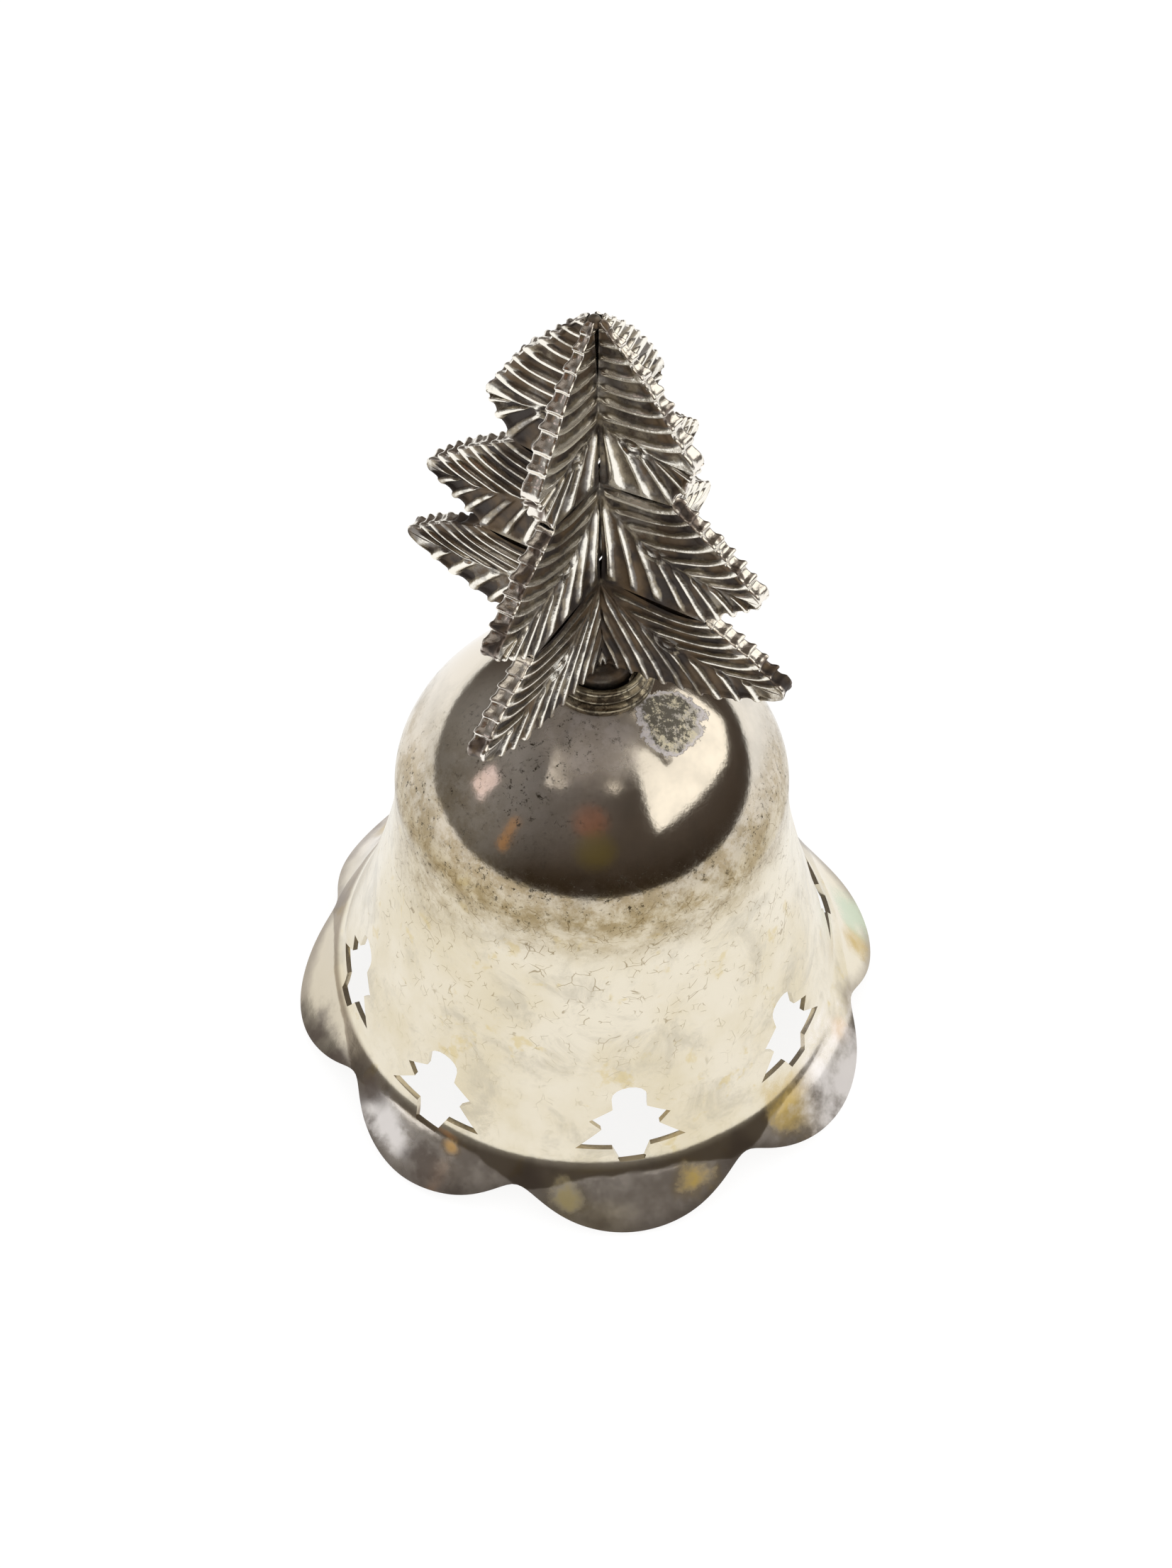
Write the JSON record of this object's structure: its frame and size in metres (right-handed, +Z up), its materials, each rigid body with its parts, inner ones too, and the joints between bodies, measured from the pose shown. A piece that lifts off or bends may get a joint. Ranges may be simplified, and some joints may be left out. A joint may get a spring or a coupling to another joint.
{
  "type": "christmas bell ornament",
  "caption": "Small silver-plated hand bell with a scalloped, pierced rim, a cast fir tree as its handle and a chained ball clapper inside.",
  "frame": {"origin": "on the bell's axis, in the plane that its rim rests on", "axes": "+Z up the bell's axis to the tip of the tree; +X through the middle of one lobe of the rim"},
  "size_m": [0.0688, 0.0688, 0.0956],
  "materials": {
    "silver_plate": "tarnished silver plate on spun brass",
    "gilt_brass": "brown tarnished brass",
    "cast_pewter": "oxidised casting with bright ridges",
    "steel_wire": "dull plated steel",
    "brass_wire": "dull plated wire",
    "clapper_brass": "dull plated ball"
  },
  "bodies": {
    "root": {"bell_shell": "silver_plate", "crown_collar": "gilt_brass", "tree_handle": "cast_pewter", "eye_stud": "steel_wire", "crown_washer": "steel_wire", "crown_nut": "steel_wire"},
    "upper_link": {"upper_link": "brass_wire"},
    "middle_link": {"middle_link": "brass_wire"},
    "lower_link": {"lower_link": "brass_wire"},
    "clapper": {"clapper_wire": "brass_wire", "clapper_ball": "clapper_brass"}
  },
  "joints": [
    {"name": "upper_link_swing", "type": "hinge", "parent": "root", "child": "upper_link", "pos_m": [0, 0, 0.0449], "axis": [1, 0, 0], "range_deg": [-22, 22]},
    {"name": "middle_link_swing", "type": "hinge", "parent": "upper_link", "child": "middle_link", "pos_m": [0, 0, 0.0372], "axis": [0, 1, 0], "range_deg": [-12, 12]},
    {"name": "lower_link_swing", "type": "hinge", "parent": "middle_link", "child": "lower_link", "pos_m": [0, 0, 0.0295], "axis": [1, 0, 0], "range_deg": [-14, 14]},
    {"name": "clapper_swing", "type": "hinge", "parent": "lower_link", "child": "clapper", "pos_m": [0, 0, 0.0218], "axis": [0, 1, 0], "range_deg": [-12, 12]}
  ]
}
